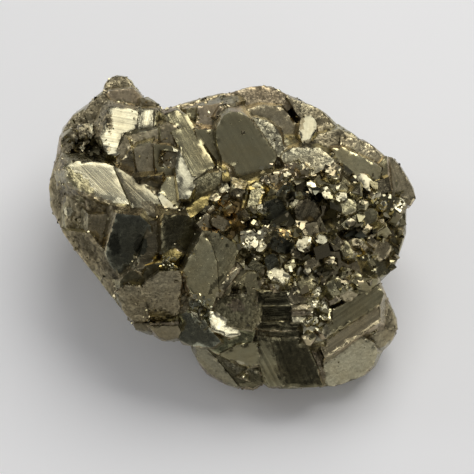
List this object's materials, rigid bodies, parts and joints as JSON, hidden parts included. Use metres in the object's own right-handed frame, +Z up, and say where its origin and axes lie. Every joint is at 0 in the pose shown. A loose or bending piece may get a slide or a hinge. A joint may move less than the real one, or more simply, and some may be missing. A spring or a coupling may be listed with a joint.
{
  "type": "pyrite crystal cluster",
  "caption": "Brassy cluster of intergrown pyrite crystals with flat striated faces, a crust of small sparkling crystals and a flat broken base to rest on.",
  "frame": {"origin": "on the flat broken base, under the middle of the cluster", "axes": "+Z up from the base, +X along the cluster's length, -Y towards the side the crystal-rich show face leans to"},
  "size_m": [0.0551, 0.05, 0.0313],
  "materials": {
    "pyrite": "satin"
  },
  "bodies": {
    "root": {"pyrite_crystal_cluster": "pyrite"}
  },
  "joints": []
}
